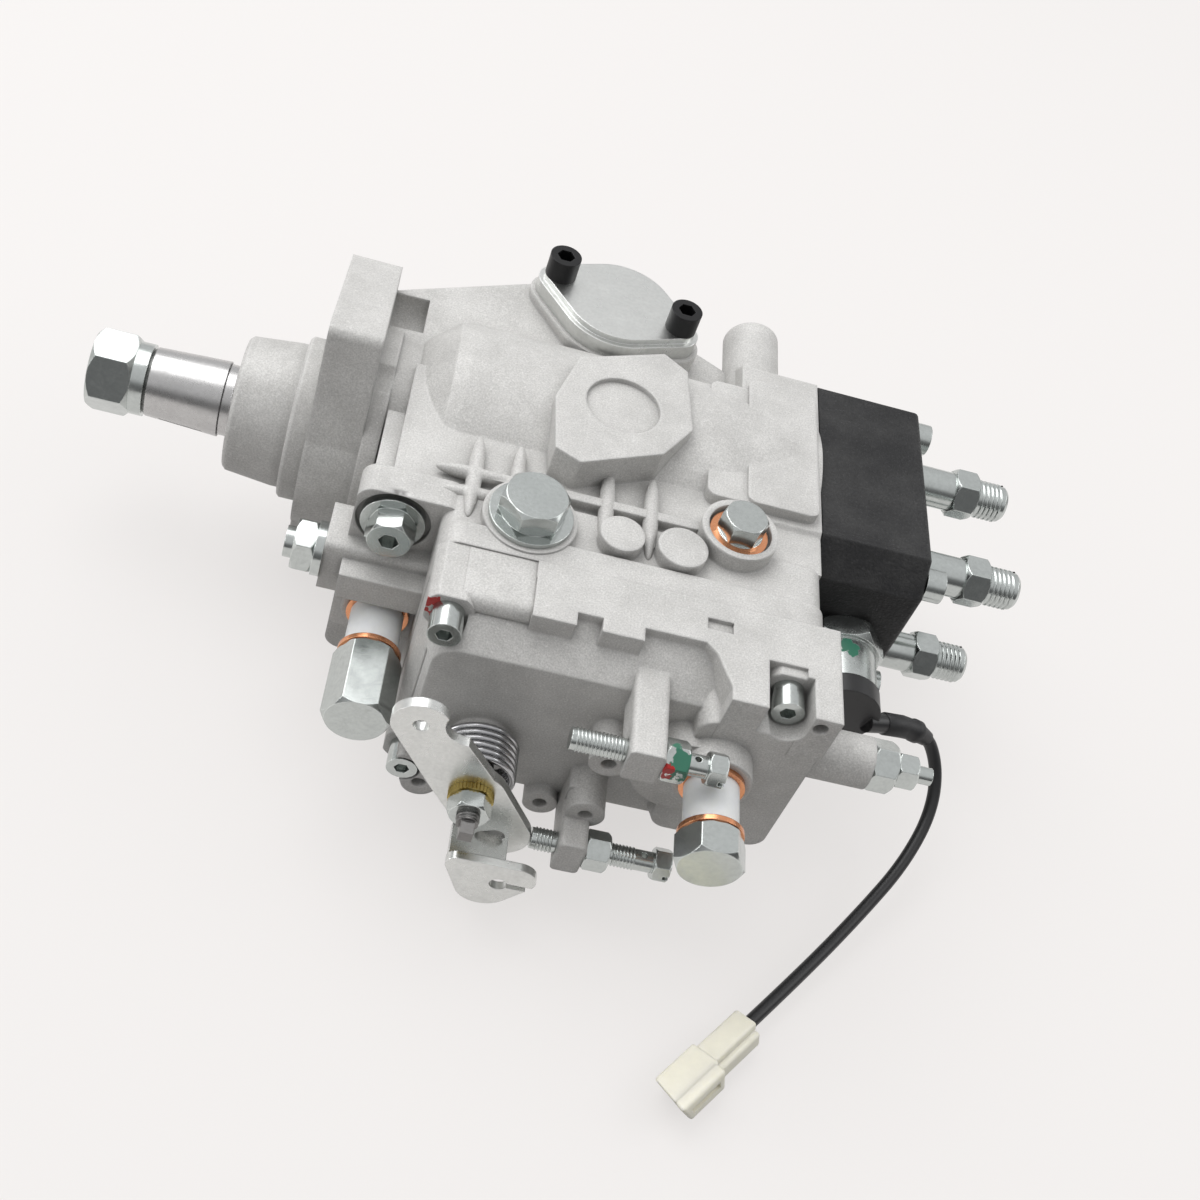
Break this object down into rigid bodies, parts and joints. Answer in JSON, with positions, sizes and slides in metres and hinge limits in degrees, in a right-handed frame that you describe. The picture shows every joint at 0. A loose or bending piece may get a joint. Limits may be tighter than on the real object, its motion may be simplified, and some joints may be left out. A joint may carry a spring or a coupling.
{
  "type": "diesel injection pump",
  "caption": "Rotary distributor diesel injection pump: flange-mounted cast housing with tapered drive shaft, governor cover, throttle lever, timing covers, outlets and stop solenoid with its lead.",
  "frame": {"origin": "centre of the mounting pilot on the flange's front face", "axes": "+X along the drive shaft from its taper to the distributor head, -Y towards the governor cover, which is the pump's top on an engine, +Z towards the side with the octagonal pad"},
  "size_m": [0.287, 0.2451, 0.1003],
  "materials": {
    "cast": "bead-blasted cast",
    "black_head": "black coated cast iron",
    "zinc": "bright zinc plated",
    "steel": "ground steel",
    "black_steel": "black oxide",
    "copper": "copper",
    "bronze": "bronze",
    "yellow_zinc": "yellow passivated",
    "rubber": "black rubber",
    "milky": "milky white plastic",
    "ivory": "ivory plastic",
    "pvc": "black sleeving"
  },
  "bodies": {
    "root": {"pump_housing": "cast", "shaft_bush": "bronze", "oil_seal": "rubber", "supply_liner": "steel", "governor_shaft": "zinc", "correction_lever": "steel", "governor_spring": "steel", "pivot_plugs": "zinc", "timer_spring": "steel", "timer_covers": "zinc", "timer_screws": "black_steel", "distributor_head": "black_head", "head_bolts": "zinc", "centre_plug": "zinc", "delivery_holders": "zinc", "governor_cover": "cast", "cover_screws": "zinc", "throttle_spring": "steel", "stop_screws": "zinc", "full_load_screw": "zinc", "lock_nuts": "zinc", "copper_washers": "copper", "large_plug": "zinc", "regulating_valve": "zinc", "stop_solenoid": "zinc", "solenoid_cap": "rubber", "stop_lead": "pvc", "lead_connector": "ivory", "banjo_bolts": "zinc", "transport_sleeves": "milky", "spring_seat": "steel", "plunger_springs": "steel"},
    "drive_shaft": {"drive_shaft": "steel", "shaft_nut": "zinc", "shaft_spring_washer": "zinc", "supply_rotor": "steel", "supply_vanes": "steel", "drive_gear": "steel", "cross_disc": "steel", "cam_disc": "steel", "plunger": "steel"},
    "governor_cage": {"flyweight_cage": "steel", "flyweights": "steel"},
    "governor_sleeve": {"governor_sleeve": "steel"},
    "governor_levers": {"start_lever": "steel", "tension_lever": "steel"},
    "control_sleeve": {"control_sleeve": "steel"},
    "timer_piston": {"timer_piston": "steel"},
    "roller_ring": {"roller_ring": "steel", "cam_rollers": "steel"},
    "throttle": {"throttle_shaft": "steel", "throttle_lever": "zinc", "throttle_washer": "yellow_zinc", "throttle_nut": "zinc"},
    "solenoid_armature": {"solenoid_armature": "steel"},
    "delivery_valve_1": {"delivery_valve_1": "steel"},
    "delivery_valve_2": {"delivery_valve_2": "steel"},
    "delivery_valve_3": {"delivery_valve_3": "steel"},
    "delivery_valve_4": {"delivery_valve_4": "steel"}
  },
  "joints": [
    {"name": "drive_shaft_spin", "type": "hinge", "parent": "root", "child": "drive_shaft", "pos_m": [0, 0, 0], "axis": [1, 0, 0], "continuous": true},
    {"name": "governor_spin", "type": "hinge", "parent": "root", "child": "governor_cage", "pos_m": [0.054, -0.05587, 0.0065], "axis": [1, 0, 0], "continuous": true},
    {"name": "governor_sleeve_slide", "type": "slide", "parent": "root", "child": "governor_sleeve", "axis": [1, 0, 0], "range_m": [0, 0.003]},
    {"name": "governor_lever_pivot", "type": "hinge", "parent": "root", "child": "governor_levers", "pos_m": [0.1225, -0.03, 0], "axis": [0, 0, 1], "range_deg": [0, 6.65]},
    {"name": "control_sleeve_slide", "type": "slide", "parent": "root", "child": "control_sleeve", "axis": [1, 0, 0], "range_m": [-0.0023, 0]},
    {"name": "timer_piston_slide", "type": "slide", "parent": "root", "child": "timer_piston", "axis": [0, 0, 1], "range_m": [0, 0.005], "deforming": ["timer_spring"]},
    {"name": "roller_ring_turn", "type": "hinge", "parent": "root", "child": "roller_ring", "pos_m": [0.084, 0, 0], "axis": [1, 0, 0], "range_deg": [0, 5.98]},
    {"name": "throttle_turn", "type": "hinge", "parent": "root", "child": "throttle", "pos_m": [0.0655, -0.1, -0.008], "axis": [0, 1, 0], "range_deg": [0, 52], "stiffness_Nm_per_rad": 0.15, "springref_deg": -57.3},
    {"name": "solenoid_armature_slide", "type": "slide", "parent": "root", "child": "solenoid_armature", "axis": [0, -1, 0], "range_m": [0, 0.003]},
    {"name": "delivery_valve_1_lift", "type": "slide", "parent": "root", "child": "delivery_valve_1", "axis": [1, 0, 0], "range_m": [0, 0.002]},
    {"name": "delivery_valve_2_lift", "type": "slide", "parent": "root", "child": "delivery_valve_2", "axis": [1, 0, 0], "range_m": [0, 0.002]},
    {"name": "delivery_valve_3_lift", "type": "slide", "parent": "root", "child": "delivery_valve_3", "axis": [1, 0, 0], "range_m": [0, 0.002]},
    {"name": "delivery_valve_4_lift", "type": "slide", "parent": "root", "child": "delivery_valve_4", "axis": [1, 0, 0], "range_m": [0, 0.002]}
  ],
  "couplings": [
    {"joint": "governor_spin", "follows": "drive_shaft_spin", "ratio": -1.5862},
    {"joint": "governor_lever_pivot", "follows": "governor_sleeve_slide", "rad_per_m": 38.65},
    {"joint": "control_sleeve_slide", "follows": "governor_sleeve_slide", "ratio": -0.76527},
    {"joint": "roller_ring_turn", "follows": "timer_piston_slide", "rad_per_m": 20.833}
  ]
}
